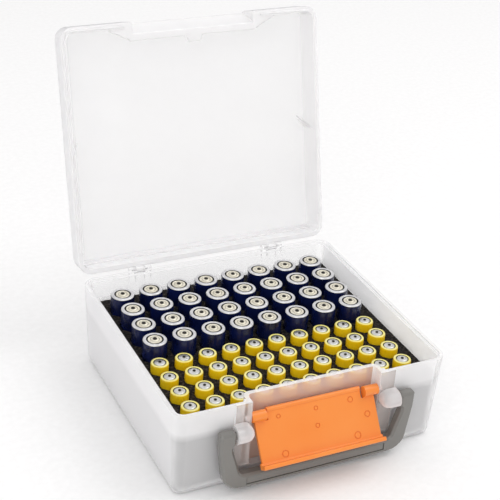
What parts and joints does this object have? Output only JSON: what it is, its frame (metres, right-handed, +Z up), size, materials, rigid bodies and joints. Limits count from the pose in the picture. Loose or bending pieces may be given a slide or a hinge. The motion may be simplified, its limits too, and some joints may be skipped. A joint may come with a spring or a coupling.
{
  "type": "battery storage case",
  "caption": "Frosted carry case with a hinged lid, snap latch and swinging handle; a pocketed foam insert holds upright AA and AAA cells.",
  "frame": {"origin": "middle of the tray's underside, under the middle of its rim", "axes": "+Z up, -Y to the front with the latch and handle, +X to the right seen from the front"},
  "size_m": [0.166, 0.2189, 0.1995],
  "materials": {
    "frosted_shell": "frosted translucent polypropylene",
    "latch_orange": "glossy moulded polypropylene",
    "handle_grey": "satin moulded plastic",
    "foam": "black closed-cell foam",
    "aa_sleeve": "navy shrink sleeve",
    "aaa_sleeve": "yellow shrink sleeve",
    "terminal_steel": "nickel-plated steel"
  },
  "bodies": {
    "tray": {"base_tray": "frosted_shell", "foam_top_sheet": "foam", "foam_lower_sheet": "foam"},
    "lid": {"lid": "frosted_shell"},
    "latch": {"latch_plate": "latch_orange"},
    "handle": {"carry_handle": "handle_grey"},
    "aa_row_1": {"aa_cells_row_1": "aa_sleeve", "aa_terminals_row_1": "terminal_steel"},
    "aaa_row_1": {"aaa_cells_row_1": "aaa_sleeve", "aaa_terminals_row_1": "terminal_steel"},
    "aa_row_2": {"aa_cells_row_2": "aa_sleeve", "aa_terminals_row_2": "terminal_steel"},
    "aaa_row_2": {"aaa_cells_row_2": "aaa_sleeve", "aaa_terminals_row_2": "terminal_steel"},
    "aa_row_3": {"aa_cells_row_3": "aa_sleeve", "aa_terminals_row_3": "terminal_steel"},
    "aaa_row_3": {"aaa_cells_row_3": "aaa_sleeve", "aaa_terminals_row_3": "terminal_steel"},
    "aa_row_4": {"aa_cells_row_4": "aa_sleeve", "aa_terminals_row_4": "terminal_steel"},
    "aaa_row_4": {"aaa_cells_row_4": "aaa_sleeve", "aaa_terminals_row_4": "terminal_steel"}
  },
  "joints": [
    {"name": "lid_hinge", "type": "hinge", "parent": "tray", "child": "lid", "pos_m": [0, 0.0756, 0.0546], "axis": [-1, 0, 0], "range_deg": [-104.2, 0]},
    {"name": "latch_pivot", "type": "hinge", "parent": "tray", "child": "latch", "pos_m": [0, -0.0725, 0.0432], "axis": [-1, 0, 0], "range_deg": [-34, 146]},
    {"name": "handle_pivot", "type": "hinge", "parent": "tray", "child": "handle", "pos_m": [0, -0.078, 0.038], "axis": [-1, 0, 0], "range_deg": [0, 175]},
    {"name": "aa_row_1_lift", "type": "slide", "parent": "tray", "child": "aa_row_1", "axis": [0, 0, 1], "range_m": [0, 0.06]},
    {"name": "aaa_row_1_lift", "type": "slide", "parent": "tray", "child": "aaa_row_1", "axis": [0, 0, 1], "range_m": [0, 0.06]},
    {"name": "aa_row_2_lift", "type": "slide", "parent": "tray", "child": "aa_row_2", "axis": [0, 0, 1], "range_m": [0, 0.06]},
    {"name": "aaa_row_2_lift", "type": "slide", "parent": "tray", "child": "aaa_row_2", "axis": [0, 0, 1], "range_m": [0, 0.06]},
    {"name": "aa_row_3_lift", "type": "slide", "parent": "tray", "child": "aa_row_3", "axis": [0, 0, 1], "range_m": [0, 0.06]},
    {"name": "aaa_row_3_lift", "type": "slide", "parent": "tray", "child": "aaa_row_3", "axis": [0, 0, 1], "range_m": [0, 0.06]},
    {"name": "aa_row_4_lift", "type": "slide", "parent": "tray", "child": "aa_row_4", "axis": [0, 0, 1], "range_m": [0, 0.06]},
    {"name": "aaa_row_4_lift", "type": "slide", "parent": "tray", "child": "aaa_row_4", "axis": [0, 0, 1], "range_m": [0, 0.06]}
  ]
}
